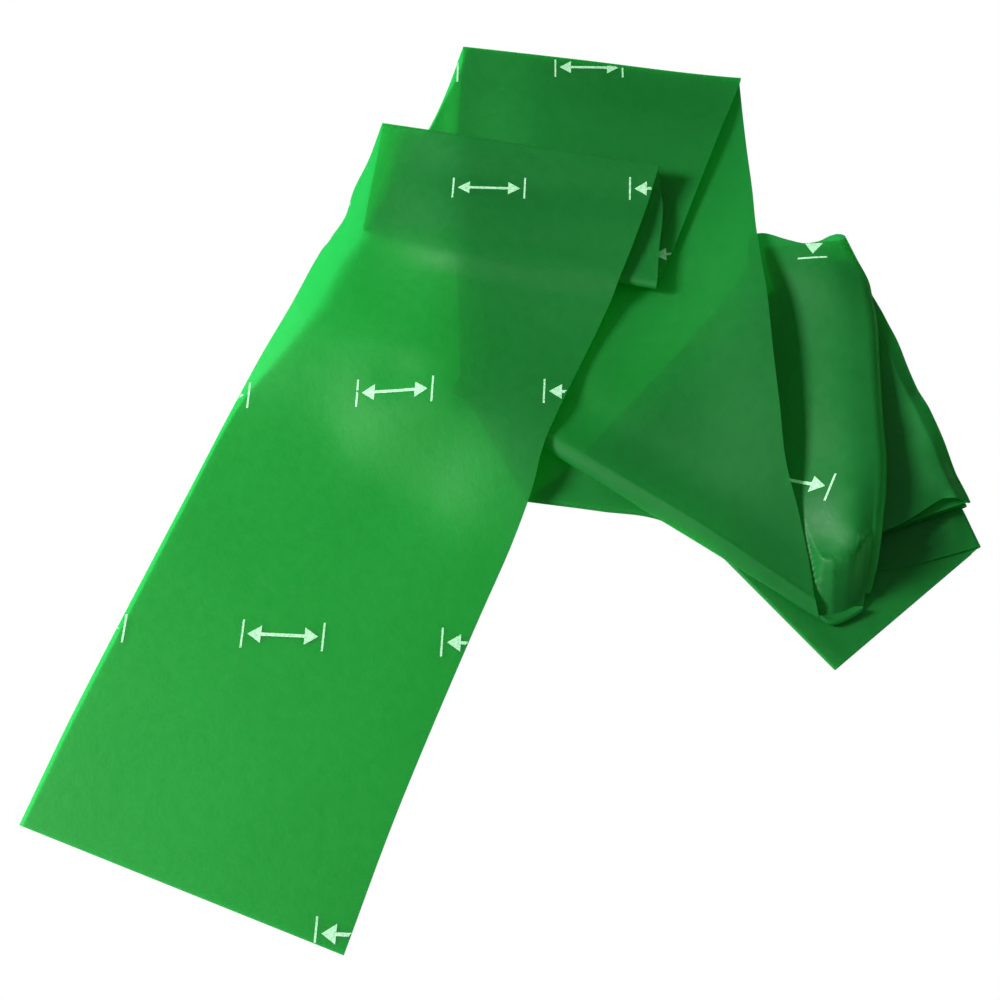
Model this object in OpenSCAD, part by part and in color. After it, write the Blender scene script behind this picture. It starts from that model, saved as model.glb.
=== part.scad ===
// Flat latex exercise band, lying loosely folded on the ground, z = 0.
// Its footprint is centred on the Z axis; +X is right, +Y is far, -Y is near (front).
// The free flap lies at the left, the folded pile at the right.
// One continuous sheet: a node is a length of it, a fold loop, roll or bend that joins
// two lengths, or the ink printed on one length.

/* [Band] */
// Width of the band
band_w = 150; // [149:0.5:151]
// Thickness of the latex
band_t = 0.25; // [0.2:0.01:0.3]
// Thickness of the printed ink
ink_t = 0.05; // [0.04:0.005:0.06]

/* [Free flap] */
// Length of the free flap along its left edge
flap_len = 396.5; // [392:0.5:400]
// Heading of the free flap, degrees from +X
flap_dir = 68.95; // [68.5:0.05:69.4]

// Length of the other end, tucked under the pile
end_len = 92; // [80:0.5:93]

/* [Folds] */
// Heading of the crease at the flap's far end
fold_1_dir = -11.5; // [-12:0.1:-11]
// Heading of the crease below it
fold_2_dir = -11.8; // [-12.3:0.1:-11.3]
// Heading of the farthest crease
fold_3_dir = -7.5; // [-8:0.1:-7]
// Heading of the long front crease
fold_4_dir = -37.2; // [-37.7:0.1:-36.7]
// Spacing of the far layers
far_gap = 4.5; // [4:0.1:5]
// Spacing of the layers in the pile
pile_gap = 2.5; // [2.3:0.05:2.7]

/* [Print] */
// Length of one printed mark
mark_l = 38; // [34:1:40]
// Height of one printed mark
mark_h = 14; // [12:0.5:15]
// Line width of the mark
mark_line = 1.2; // [1:0.1:1.5]
// Repeat of the mark along the band
mark_pitch = 140; // [138:1:142]
// Distance between mark columns, across the band
mark_col = 86.5; // [85:0.5:88]
// Lead of each column along the band
mark_lead = 28.8; // [27:0.2:30]

/* [Hidden] */
latex = "forestgreen";
ink = "honeydew";

// ---- lines in plan: a line is [point, heading] ----
function dir(heading) = [cos(heading), sin(heading)];
function right_of(heading) = [sin(heading), -cos(heading)];
function x_line(x) = [[x, 0], 90];
function y_line(y) = [[0, y], 0];
function meet(line, other) =
  line[0] + dir(line[1]) * cross(other[0] - line[0], dir(other[1]))
            / cross(dir(line[1]), dir(other[1]));
// unit normal of a line, on the side that a heading points to
function normal(line, heading) =
  let (n = [-sin(line[1]), cos(line[1])]) (n * dir(heading) > 0 ? n : -n);
function shift(line, heading, distance) =
  [line[0] + normal(line, heading) * distance, line[1]];
// four corners of a length between two lines, each end set in by its inset;
// side is +1 where the width lies right of the edge's heading, -1 where left
function run(edge, side, start, start_inset, stop, stop_inset) =
  let (other = [edge[0] + right_of(edge[1]) * side * band_w, edge[1]],
       first = shift(start, edge[1], start_inset),
       last = shift(stop, edge[1], -stop_inset))
  [meet(edge, first), meet(edge, last), meet(other, last), meet(other, first)];
// edge between two numbered corners of an outline
function edge(outline, i, j) = [outline[i], outline[j]];

// ---- planes: [z0, slope_x, slope_y], the height z0 + slope_x*x + slope_y*y ----
function lift(point, plane) =
  [point[0], point[1], plane[0] + plane[1]*point[0] + plane[2]*point[1]];
function plane_at(p, slope_x, slope_y) =
  [p[2] - slope_x*p[0] - slope_y*p[1], slope_x, slope_y];
function plane_through(a, b, c) =
  let (n = cross(b - a, c - a)) plane_at(a, -n[0]/n[2], -n[1]/n[2]);
function raised(plane, height) = plane + [height, 0, 0];
// level plane of a sheet whose underside is at this height
function level(height) = [band_t/2 + height, 0, 0];
function tilt(plane) = atan(norm([plane[1], plane[2]]));
function tilt_axis(plane) =
  let (slope = norm([plane[1], plane[2]]))
  slope < 1e-9 ? [1, 0, 0] : [plane[2], -plane[1], 0] / slope;
// plan point in the tilted plane's own axes, measured from a pivot
function local(point, pivot, plane) =
  let (v = lift(point, plane) - lift(pivot, plane), axis = -tilt_axis(plane),
       t = tilt(plane),
       turned = v*cos(t) + cross(axis, v)*sin(t) + axis*(axis*v)*(1 - cos(t)))
  [turned[0], turned[1]];

module on_plane(pivot, plane)
  translate(origin + lift(pivot, plane))
    rotate(a = tilt(plane), v = tilt_axis(plane))
      children();

module outline2d(outline, plane)
  polygon([for (p = outline) local(p, outline[0], plane)]);

// ---- flat length ----
module slab(outline, plane)
  on_plane(outline[0], plane)
    translate([0, 0, -band_t/2])
      linear_extrude(band_t)
        outline2d(outline, plane);

// ---- printed marks ----
head_l = 6;             // arrowhead length
head_half_h = 4;
shaft_overlap = 0.4;    // shaft runs into both arrowheads, in total
mark_across = 69;       // first column's distance from the band's left edge

// one mark: a double arrow between two bars
module mark2d() {
  half_l = mark_l/2;
  tip = half_l - 3*mark_line;
  for (s = [-1, 1]) scale([s, 1]) {
    translate([half_l - mark_line, -mark_h/2]) square([mark_line, mark_h]);
    polygon([[tip, 0], [tip - head_l, head_half_h], [tip - head_l, -head_half_h]]);
  }
  square([2*(tip - head_l) + shaft_overlap, 2*mark_line], center = true);
}

// marks on the upper face, clipped to the outline; start is the distance of
// row 0 along the left edge line
module marks(outline, plane, left, rows, start) {
  heading = left[1];
  on_plane(outline[0], plane)
    translate([0, 0, band_t/2])
      linear_extrude(ink_t)
        intersection() {
          outline2d(outline, plane);
          union() for (row = rows) for (col = [-1:1]) {
            centre = left[0] + dir(heading)*(start + mark_pitch*row + mark_lead*col)
                     + right_of(heading)*(mark_across + mark_col*col);
            translate(local(centre, outline[0], plane))
              rotate(heading - 90 + atan(mark_lead/mark_col))
                mark2d();
          }
        }
}

// ---- curved joints ----
loop_steps = 14;
loop_overlap = 0.15;    // the arc starts this far out of the edges, and is flatter by as much
bend_steps = 6;
bend_trim = 0.12;       // share of the gap left open at each end of a bend
bend_rise = 0.05;       // rise of a bend's middle, as a share of the gap

// solid strip from four rings: outer and inner face at one side, then at the other
module strip(rings) {
  n = len(rings[0]);
  last = n - 1;
  quads = concat(
    [for (k = [0:last-1]) each [
      [k, k+1, 2*n+k+1, 2*n+k],
      [n+k+1, n+k, 3*n+k, 3*n+k+1],
      [k+1, k, n+k, n+k+1],
      [2*n+k, 2*n+k+1, 3*n+k+1, 3*n+k]]],
    [[0, 2*n, 3*n, n], [last, n+last, 3*n+last, 2*n+last]]);
  translate(origin)
    polyhedron(points = [for (ring = rings) each ring],
               faces = [for (q = quads) each [[q[0], q[1], q[2]], [q[0], q[2], q[3]]]]);
}

// half ellipse from a top point to a bottom point, bulging along out
function arc(top, bottom, out, radius, offset) =
  let (half = (top - bottom)/2, half_h = norm(half),
       middle = (top + bottom)/2 + out*loop_overlap)
  [for (k = [0:loop_steps]) let (a = 90 - 180*k/loop_steps)
    middle + out*(radius - loop_overlap + offset)*cos(a)
           + half/half_h*(half_h + offset)*sin(a)];

// fold loop between an edge of an upper length and an edge of a lower one
module loop(upper, upper_plane, lower, lower_plane, out, radius)
  strip([for (i = [0, 1]) for (offset = [band_t/2, -band_t/2])
    arc(lift(upper[i], upper_plane), lift(lower[i], lower_plane),
        [out[0], out[1], 0], radius, offset)]);

// low arch between two points, listed from the second to the first
function arch(from, to, offset) =
  [for (k = [bend_steps:-1:0]) let (t = k/bend_steps)
    from + (to - from)*(bend_trim + (1 - 2*bend_trim)*t)
         + [0, 0, norm(to - from)*bend_rise*4*t*(1 - t) + offset]];

// shallow bend between two lengths that meet at an angle
module bend(from, from_plane, to, to_plane)
  strip([for (i = [0, 1]) for (offset = [band_t/2, -band_t/2])
    arch(lift(from[i], from_plane), lift(to[i], to_plane), offset)]);

// ---- far layers: left ends of the creases, then planes from the lowest up ----
flap_corner = [-205.9, 192.2];          // near left corner of the free end
return_dir = -94.6;
upper_dir = 70.9;
wide_dir = -89.3;
left_1 = flap_corner + dir(flap_dir)*flap_len;
left_2 = left_1 + dir(return_dir)*72.9;
left_3 = left_2 + dir(upper_dir)*150.4;
left_4 = left_3 + dir(wide_dir)*226;
crease_1 = [left_1, fold_1_dir];
crease_2 = [left_2, fold_2_dir];
crease_3 = [left_3, fold_3_dir];
crease_4 = [left_4, fold_4_dir];
far_r = far_gap/2;
roll_r = 4;                             // front roll

wide_plane = plane_at([-20, 631, 3], 0.045, -0.04);
upper_plane = raised(wide_plane, far_gap);
return_plane = raised(wide_plane, 2*far_gap);
root_plane = raised(wide_plane, 3*far_gap);

upper_left = [left_2, upper_dir];
return_plan = run([left_1, return_dir], -1, crease_1, far_r, crease_2, far_r);
upper_plan = run(upper_left, 1, crease_2, far_r, crease_3, far_r);
wide_plan = run([left_3, wide_dir], -1, crease_3, far_r, crease_4, roll_r);

// ---- free flap: root on the far layers, middle slopes down, end lies flat ----
flap_left = [flap_corner, flap_dir];
flap_right = [flap_corner + right_of(flap_dir)*band_w, flap_dir];
flap_cut = [flap_corner, flap_dir - 90];
bend_inset = 1.5;                       // each length stops this far from a bend line
root_bend = [[-100, 468], -37.5];
end_bend_point = [-5.6, 290];
end_bend_lift = 0.3;                    // height of the middle above the flat end there

middle_plane = plane_through(lift(root_bend[0], root_plane),
                             lift(meet(flap_right, root_bend), root_plane),
                             lift(end_bend_point, level(end_bend_lift)));
// the end bend is a level line of the sloping middle
end_bend = [end_bend_point, atan2(-middle_plane[1], middle_plane[2])];
tip_plan = run(flap_left, 1, flap_cut, 0, end_bend, bend_inset);
middle_plan = run(flap_left, 1, end_bend, bend_inset, root_bend, bend_inset);
root_plan = run(flap_left, 1, root_bend, bend_inset, crease_1, far_r);

// ---- front pleat: from under the front roll to the near crease of the loose run ----
pleat_corner = [21, 343.4];
pleat_r = 1.5;
pleat_crease = [pleat_corner, -10.6];
pleat_near = shift(pleat_crease, 90, pleat_r);
pleat_left = [pleat_corner, 111.5];
roll_line = shift(crease_4, wide_dir, -roll_r);
pleat_far = shift(roll_line, wide_dir, 2.4);
// the pleat ends before its two creases cross
pleat_right = x_line(meet(pleat_near, roll_line)[0] - 12);
roll_right = x_line(112);
// under the wide run at two points of the roll, and through a near left point
pleat_plane = plane_through(lift([2.7, 389.6], raised(wide_plane, -8)),
                            lift([126, 296], raised(wide_plane, -8.4)),
                            [23, 345, 6.2]);
pleat_start = meet(pleat_near, pleat_left);
roll_end = meet(roll_right, roll_line);
pleat_plan = [pleat_start, meet(pleat_left, pleat_far),
              meet(pleat_right, pleat_far), meet(pleat_right, pleat_near)];

// ---- loose run, its return under the side roll, then the side run ----
loose_dir = 49.5;
loose_left = [pleat_corner, loose_dir];
side_roll_x = 176;                      // outermost line of the side roll, at y = 390
side_roll_r = 2;
inner_roll_x = 163;                     // leftmost line of the inner roll, at y = 390
inner_roll_r = 0.7;
side_roll_dir = 87.5;
side_line = [[side_roll_x - side_roll_r, 390], side_roll_dir];
inner_line = [[inner_roll_x + inner_roll_r, 390], side_roll_dir];
loose_far = y_line(486);
return_near = y_line(306);
side_far = y_line(482);
side_near = [[182.5, 326.1], 29.3];

loose_plane = plane_at([21, 343, 4], 0.09, -0.01);
under_plane = raised(loose_plane, -2.4);
loose_plan = [pleat_start, meet(loose_left, y_line(350)),
              meet(loose_far, [[53.4, 381.2], loose_dir]), meet(loose_far, side_line),
              [side_roll_x - side_roll_r - 3.8, 303], meet(roll_right, pleat_near)];
under_plan = [meet(return_near, inner_line), meet(side_far, inner_line),
              meet(side_far, side_line), meet(return_near, side_line)];

// ---- pile at the right: inner runs between right creases and hidden left creases ----
pile_corner = [221.6, 341.3];           // near right corner of the side run
pile_dir = 108;                         // heading of the right creases
pile_right = dir(pile_dir - 90);
pile_r = pile_gap/2;
pile_left = pile_corner - pile_right*55;  // near end of the left creases
pile_step = 0.8;                        // each right crease lies this much left per level
pile_w = 142;                           // inner runs 2 to 4, along the creases
lowest_w = 136;                         // inner run 1, along its left crease
pile_crease = [pile_corner - pile_right*pile_r, pile_dir];
side_plane = pile_level(5);
side_plan = [meet(side_near, inner_line), meet(side_near, pile_crease),
             meet(side_far, pile_crease), meet(side_far, inner_line)];

lowest_corner = [224.6, 322.2];         // right corner of the lower end
lowest_dir = 107.8;
lowest_crease = [lowest_corner + dir(lowest_dir + 90)*pile_r, lowest_dir];

function pile_level(k) = level(pile_gap*k);
// corners: near right, far right, far left, near left
function inner_plan(k) =
  let (width = dir(pile_dir) * (k == 1 ? lowest_w : pile_w),
       right = pile_crease[0] - [pile_step*k, 0],
       left = pile_left + pile_right*pile_r)
  k == 1
    ? [meet(lowest_crease, [pile_left, 5]),
       meet(lowest_crease, [pile_left + width, pile_dir - 90]), left + width, left]
    : [right, right + width, left + width, left];

// ---- lower end and the last length tucked under it ----
lower_corner = [151, 261];              // near left corner
lower_dir = 39.8;
lower_r = 0.55;                         // radius of the lowest fold
lower_across = dir(lower_dir + 90)*band_w;
lower_start = lower_corner + dir(lower_dir)*lower_r;
lower_plane = level(1.2);
lower_plan = [lower_start, meet([lower_corner, lower_dir], lowest_crease),
              meet(lowest_crease, [lower_corner + lower_across, lower_dir]),
              lower_start + lower_across];
end_stop = lower_start + dir(lower_dir)*end_len;
end_plan = [lower_start, end_stop, end_stop + lower_across, lower_start + lower_across];

// middle of the footprint, on the ground; 0.05 is a small trim to the left
origin = [-(flap_corner[0] + lowest_corner[0])/2 - 0.05,
          -(flap_right[0][1] + left_3[1])/2, 0];

// ---- lengths ----
module free_end() color(latex) slab(tip_plan, level(0));
module flap_middle() color(latex) slab(middle_plan, middle_plane);
module flap_root() color(latex) slab(root_plan, root_plane);
module upper_return() color(latex) slab(return_plan, return_plane);
module upper_run() color(latex) slab(upper_plan, upper_plane);
module wide_run() color(latex) slab(wide_plan, wide_plane);
module front_pleat() color(latex) slab(pleat_plan, pleat_plane);
module loose_run() color(latex) slab(loose_plan, loose_plane);
module pleat_return() color(latex) slab(under_plan, under_plane);
module side_run() color(latex) slab(side_plan, side_plane);
module inner_run(k) color(latex) slab(inner_plan(k), pile_level(k));
module lower_end() color(latex) slab(lower_plan, lower_plane);
module end_return() color(latex) slab(end_plan, level(0));

// ---- bends, loops and rolls ----
module flap_end_bend() color(latex)
  bend(edge(tip_plan, 1, 2), level(0), edge(middle_plan, 0, 3), middle_plane);
module flap_root_bend() color(latex)
  bend(edge(middle_plan, 1, 2), middle_plane, edge(root_plan, 0, 3), root_plane);
module fold_loop_1() color(latex)
  loop(edge(root_plan, 1, 2), root_plane, edge(return_plan, 0, 3), return_plane,
       normal(crease_1, flap_dir), far_r);
module fold_loop_2() color(latex)
  loop(edge(return_plan, 1, 2), return_plane, edge(upper_plan, 0, 3), upper_plane,
       normal(crease_2, return_dir), far_r);
module fold_loop_3() color(latex)
  loop(edge(upper_plan, 1, 2), upper_plane, edge(wide_plan, 0, 3), wide_plane,
       normal(crease_3, upper_dir), far_r);
module front_roll() color(latex)
  loop([wide_plan[1], roll_end], wide_plane,
       [meet(pleat_left, roll_line), roll_end], pleat_plane,
       normal(crease_4, wide_dir), roll_r);
module pleat_roll() color(latex)
  loop(edge(pleat_plan, 0, 3), pleat_plane, edge(pleat_plan, 0, 3), loose_plane,
       normal(pleat_crease, -90), pleat_r);
module side_roll() color(latex)
  loop(edge(loose_plan, 4, 3), loose_plane, edge(under_plan, 3, 2), under_plane,
       [1, 0], side_roll_r);
module side_inner_roll() color(latex)
  loop(edge(under_plan, 0, 1), under_plane, edge(side_plan, 0, 3), side_plane,
       [-1, 0], inner_roll_r);
module fold_loop_5() color(latex)
  loop(edge(side_plan, 1, 2), side_plane, edge(inner_plan(4), 0, 1), pile_level(4),
       pile_right, pile_r);
// loops from inner run k down to the next, at the left or right creases
module left_loop(k)
  loop(edge(inner_plan(k), 3, 2), pile_level(k),
       edge(inner_plan(k - 1), 3, 2), pile_level(k - 1), -pile_right, pile_r);
module right_loop(k)
  loop(edge(inner_plan(k), 0, 1), pile_level(k),
       edge(inner_plan(k - 1), 0, 1), pile_level(k - 1), pile_right, pile_r);
module fold_loop_6() color(latex) left_loop(4);
module fold_loop_7() color(latex) right_loop(3);
module fold_loop_8() color(latex) left_loop(2);
module fold_loop_9() color(latex)
  loop(edge(inner_plan(1), 0, 1), pile_level(1), edge(lower_plan, 1, 2), lower_plane,
       pile_right, pile_r);
module fold_loop_10() color(latex)
  loop(edge(lower_plan, 0, 3), lower_plane, edge(end_plan, 0, 3), level(0),
       dir(lower_dir + 180), lower_r);

// ---- ink; the flap's three lengths share one lattice of marks ----
flap_start = 113;
module print_free_end() color(ink)
  marks(tip_plan, level(0), flap_left, [0:1], flap_start);
module print_flap_middle() color(ink)
  marks(middle_plan, middle_plane, flap_left, [0:2], flap_start);
module print_flap_root() color(ink)
  marks(root_plan, root_plane, flap_left, [0:3], flap_start);
module print_upper_run() color(ink)
  marks(upper_plan, upper_plane, upper_left, [-1:2], 128);
module print_loose_run() color(ink)
  marks(loose_plan, loose_plane, loose_left, [-1:2], 69);

free_end();
flap_middle();
flap_root();
upper_return();
upper_run();
wide_run();
front_pleat();
loose_run();
pleat_return();
side_run();
inner_run(1);  // inner_run_1
inner_run(2);  // inner_run_2
inner_run(3);  // inner_run_3
inner_run(4);  // inner_run_4
lower_end();
end_return();
fold_loop_10();
flap_end_bend();
flap_root_bend();
fold_loop_1();
fold_loop_2();
fold_loop_3();
front_roll();
pleat_roll();
side_roll();
side_inner_roll();
fold_loop_5();
fold_loop_6();
fold_loop_7();
fold_loop_8();
fold_loop_9();
print_free_end();
print_flap_middle();
print_flap_root();
print_upper_run();
print_loose_run();
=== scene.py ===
"""A green latex exercise band, 150 mm wide, dropped in a loose folded pile on a white table.

The band is one strip of rows, each running across the band from edge 0 to edge 1. Along the
strip: a flat free flap (left, near), three folds stacked under its far end, a wide run coming
back to a front roll, a loose run below it that rolls over on the right, a side run, a zigzag of
four inner runs, and the cut lower end. Each stretch of rows becomes one mesh piece; the runs ride
on bodies, while the flap, the folds and the front roll are placed on none.

Plan coordinates are in mm from the point on the table below the camera: +x right, +y away
from the camera, z up. ORIGIN moves them into the scene. Angles are in degrees.
"""
import bpy
import math
import numpy as np
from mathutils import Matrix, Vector
from mathutils.bvhtree import BVHTree


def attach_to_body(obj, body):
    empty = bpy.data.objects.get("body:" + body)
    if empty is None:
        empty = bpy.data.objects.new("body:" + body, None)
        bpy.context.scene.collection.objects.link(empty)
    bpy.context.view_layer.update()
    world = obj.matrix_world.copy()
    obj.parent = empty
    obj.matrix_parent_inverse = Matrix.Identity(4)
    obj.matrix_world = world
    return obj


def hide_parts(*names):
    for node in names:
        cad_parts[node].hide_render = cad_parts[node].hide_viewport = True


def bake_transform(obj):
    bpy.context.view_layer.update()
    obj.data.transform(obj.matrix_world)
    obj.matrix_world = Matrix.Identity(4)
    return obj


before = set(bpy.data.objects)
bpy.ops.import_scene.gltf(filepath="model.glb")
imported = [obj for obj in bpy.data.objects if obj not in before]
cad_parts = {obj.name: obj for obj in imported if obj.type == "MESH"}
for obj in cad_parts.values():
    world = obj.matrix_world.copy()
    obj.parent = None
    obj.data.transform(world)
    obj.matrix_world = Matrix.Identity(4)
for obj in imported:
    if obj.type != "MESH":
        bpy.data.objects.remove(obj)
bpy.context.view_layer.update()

MM = 0.001
THICKNESS = 0.30             # drawn thickness of the sheet
WIDTH = 150.0                # width of the band
ORIGIN = np.array([-9.4, -385.009, 0.0])
CAMERA_HEIGHT = 663.14
LYING = 0.17                 # height of the sheet's middle where it lies on the table
ACROSS = np.linspace(0, 1, 76)          # stations across the band, edge 0 to edge 1
ACROSS_COL = ACROSS[:, None]


# ---------------------------------------------------------------- plan geometry and shaping
def heading(angle):
    return np.array([math.cos(math.radians(angle)), math.sin(math.radians(angle))])


def right_of(angle):
    return np.array([math.sin(math.radians(angle)), -math.cos(math.radians(angle))])


def left_of(angle):
    return -right_of(angle)


def crossing(p, p_angle, q, q_angle):
    """Where the line through p meets the line through q."""
    u, v, gap = heading(p_angle), heading(q_angle), q - p
    return p + u * (gap[0] * v[1] - gap[1] * v[0]) / (u[0] * v[1] - u[1] * v[0])


def crease_normal(crease_angle, run_angle):
    """Unit normal of a crease, on the side a run arriving at it heads for."""
    normal = left_of(crease_angle)
    return normal if normal @ heading(run_angle) > 0 else -normal


def offset_from(x, y, point, angle):
    """Signed distance from a line, positive on the left of its heading."""
    normal = left_of(angle)
    return (x - point[0]) * normal[0] + (y - point[1]) * normal[1]


def smooth(t):
    t = np.clip(t, 0, 1)
    return t * t * (3 - 2 * t)


def rise(value, start, width):
    """0 up to start, easing to 1 over width."""
    return smooth((value - start) / width)


def fall(value, end, width):
    """0 from end onwards, easing to 1 over width before it."""
    return smooth((end - value) / width)


def hump(distance, width):
    return np.exp(-(distance / width) ** 2)


def softmin(a, b, width):
    h = np.clip(0.5 + 0.5 * (b - a) / width, 0, 1)
    return b + (a - b) * h - width * h * (1 - h)


def softmax(a, b, width):
    return -softmin(-a, -b, width)


def lookup(value, pairs):
    return np.interp(value, *np.transpose(pairs))


class Drape:
    """Smooth height field through control points (x, y, z): a thin plate spline."""

    def __init__(self, points, slack=0.0):
        points = np.array(points, float)
        self.centres = points[:, :2] / 100.0
        n = len(points)
        linear = np.column_stack([np.ones(n), self.centres])
        system = np.zeros((n + 3, n + 3))
        system[:n, :n] = self.kernel(self.centres, self.centres) + slack * np.eye(n)
        system[:n, n:] = linear
        system[n:, :n] = linear.T
        self.weights = np.linalg.solve(system, np.r_[points[:, 2], 0, 0, 0])

    @staticmethod
    def kernel(a, b):
        d = ((a[:, None] - b[None]) ** 2).sum(2)
        return 0.5 * d * np.log(np.maximum(d, 1e-12))

    def __call__(self, x, y):
        x, y = np.asarray(x, float), np.asarray(y, float)
        p = np.column_stack([x.ravel(), y.ravel()]) / 100.0
        n, w = len(self.centres), self.weights
        return (self.kernel(p, self.centres) @ w[:n] + w[n] + p @ w[n + 1:]).reshape(x.shape)


# ---------------------------------------------------------------- curves and rows
def arc_length(curve):
    return np.r_[0, np.cumsum(np.linalg.norm(np.diff(curve, axis=0), axis=1))]


def curve_at(curve, fractions):
    """Points at fractions of a curve's length."""
    length = arc_length(curve)
    where = np.asarray(fractions) * length[-1]
    return np.column_stack([np.interp(where, length, column) for column in curve.T])


def dense(points, count=500):
    """Catmull-Rom curve through the points, evenly spaced along its length."""
    points = np.array(points, float)
    spans = len(points) - 1
    q = np.vstack([2 * points[0] - points[1], points, 2 * points[-1] - points[-2]])
    t = np.linspace(0, spans, count * 2)
    i = np.minimum(t.astype(int), spans - 1)
    f = (t - i)[:, None]
    p0, p1, p2, p3 = q[i], q[i + 1], q[i + 2], q[i + 3]
    curve = 0.5 * ((2 * p1) + (-p0 + p2) * f + (2 * p0 - 5 * p1 + 4 * p2 - p3) * f ** 2
                   + (-p0 + 3 * p1 - 3 * p2 + p3) * f ** 3)
    return curve_at(curve, np.linspace(0, 1, count))


def split_at(curve, point):
    i = int(np.argmin(((curve - np.array(point)) ** 2).sum(1)))
    return curve[:i + 1], curve[i:]


def straight_row(edge_0, edge_1):
    return edge_0[None] * (1 - ACROSS_COL) + edge_1[None] * ACROSS_COL


def sweep(first, last, steps):
    """(fraction, row) pairs going evenly from one row to another."""
    return [(k / steps, first * (1 - k / steps) + last * (k / steps)) for k in range(steps + 1)]


def raised(plan, height):
    return np.column_stack([plan, height(plan[:, 0], plan[:, 1])])


def ruled(edge_0, edge_1, steps, height, end_height=None):
    """Straight rows between two edge curves; the height may fade into end_height."""
    fractions = np.linspace(0, 1, steps + 1)
    rows_out = []
    for t, a, b in zip(fractions, curve_at(edge_0, fractions), curve_at(edge_1, fractions)):
        row = raised(straight_row(a, b), height)
        if end_height:
            row[:, 2] = (1 - t) * row[:, 2] + t * end_height(row[:, 0], row[:, 1])
        rows_out.append(row)
    return rows_out


def coons(first, last, edge_0, edge_1, steps, height):
    """Rows of the patch between two plan rows and two edge curves from first to last."""
    fractions = np.linspace(0, 1, steps + 1)
    a, b = curve_at(edge_0, fractions), curve_at(edge_1, fractions)
    a[0], a[-1], b[0], b[-1] = first[0], last[0], first[-1], last[-1]
    v = ACROSS_COL
    rows_out = []
    for k, t in enumerate(fractions):
        corners = ((1 - t) * (1 - v) * first[0] + t * (1 - v) * last[0]
                   + (1 - t) * v * first[-1] + t * v * last[-1])
        plan = (1 - t) * first + t * last + (1 - v) * a[k] + v * b[k] - corners
        rows_out.append(raised(plan, height))
    return rows_out


def flat_vectors(outward):
    """Plan vector, one for all or one per station, as 3D vectors for a row."""
    vectors = np.zeros((len(ACROSS), 3))
    vectors[:, :2] = outward
    return vectors


def turn_rows(first, last, outward, steps=18):
    """Half ellipse from one row to another, bulging by the plan vector outward."""
    bulge = flat_vectors(outward)
    middle, half = (first + last) / 2, (first - last) / 2
    angles = [math.pi * k / steps for k in range(steps + 1)]
    return [middle + half * math.cos(a) + bulge * math.sin(a) for a in angles]


# The three functions below lower part of a run. Each point slides along its own line of
# sight, so the outline seen from the camera stays.
def slide_to(row, new_z):
    scale = (CAMERA_HEIGHT - new_z) / (CAMERA_HEIGHT - row[:, 2])
    return np.column_stack([row[:, :2] * scale[:, None], new_z])


def lower_far_left(run, gap):
    lowered = []
    for row in run:
        x, y, z = row.T
        share = fall(x, end=22, width=45.0) * rise(y, start=455, width=60.0)
        drop = 0.9 * np.maximum(z - gap - 0.7, 0) + 0.75 * gap
        lowered.append(slide_to(row, z - share * drop))
    return lowered


def flatten_left(run, level):
    lowered = []
    for row in run:
        x, y, z = row.T
        share = fall(x, end=-15, width=55.0) * rise(y, start=425, width=45.0)
        lowered.append(slide_to(row, z - share * np.maximum(z - level, 0)))
    return lowered


def settle_left(run, level):
    lowered = []
    for row in run:
        x, _, z = row.T
        share = fall(x, end=-23.0, width=10.0)
        lowered.append(slide_to(row, z * (1 - share) + np.minimum(z, level) * share))
    return lowered


rows = []                    # all rows of the strip, each an array (station, xyz)
spans = {}                   # piece name -> (first row, last row)


def add_run(name, run):
    """Adds rows to a piece; a joining run starts with the strip's last row, so skips it."""
    start = max(len(rows) - 1, 0)
    rows.extend(run[1:] if rows else run)
    first = spans[name][0] if name in spans else start
    spans[name] = (first, len(rows) - 1)


# ---------------------------------------------------------------- creases of the upper layers
FLAP_ANGLE = 68.95                       # heading of each run along the strip
RETURN_ANGLE = -94.6
UPPER_ANGLE = 70.9
WIDE_ANGLE = -89.3
CREASE_1, CREASE_2, CREASE_3, ROLL_CREASE = -11.5, -11.8, -7.5, -37.2

FLAP_CORNER = np.array([-205.9, 192.2])                      # near left corner of the flap
FOLD_1 = FLAP_CORNER + heading(FLAP_ANGLE) * 396.5           # left ends of the creases
FOLD_2 = FOLD_1 + heading(RETURN_ANGLE) * 72.9
FOLD_3 = FOLD_2 + heading(UPPER_ANGLE) * 150.4
FOLD_REACH = 2.25                        # least bulge of the three folds
FLAP_DROP = 4.2                          # from the flap to the return under it, at fold 1
UPPER_GAP = 4.2                          # from the wide run up to the upper run
RETURN_GAP = 8.6                         # from the wide run up to the return, at fold 2

# Edges of the visible runs, (x, y), in order along the strip
FLAP_LEFT = [
    (-206.6, 189.8), (-194.1, 228.1), (-187.6, 246.8), (-169.7, 295.7), (-150.2, 348.0),
    (-129.2, 403.6), (-105.0, 455.4), (-92.7, 481.7), (-86.3, 489.6), (-79.4, 502.7),
    (-75.7, 520.2), (-67.3, 546.9), (-62.9, 563.6)]
FLAP_RIGHT = [
    (-64.6, 134.9), (-43.3, 198.4), (-13.7, 275.9), (12.6, 341.0), (21.3, 371.0),
    (36.6, 408.0), (57.0, 455.0), (70.7, 492.0), (82.0, 529.3)]
FLAP_SPLIT = [(-110.0, 441.0), (10.5, 331.3)]    # where the flap's two pieces meet, by edge
RETURN_LEFT = [(-63.0, 563.6), (-65.6, 540.6), (-69.9, 503.2)]
RETURN_RIGHT = [(82.2, 529.3), (83.6, 507.1), (80.6, 482.5), (78.4, 460.8)]
UPPER_LEFT = [(-69.9, 503.2), (-37.7, 571.3), (-20.8, 628.4)]
UPPER_RIGHT = [(78.6, 460.8), (87.1, 481.3), (108.0, 538.1), (132.3, 604.9)]
WIDE_LEFT = [(-20.6, 628.4), (-23.5, 560.0), (-24.0, 490.0), (-23.8, 414.0)]
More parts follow.
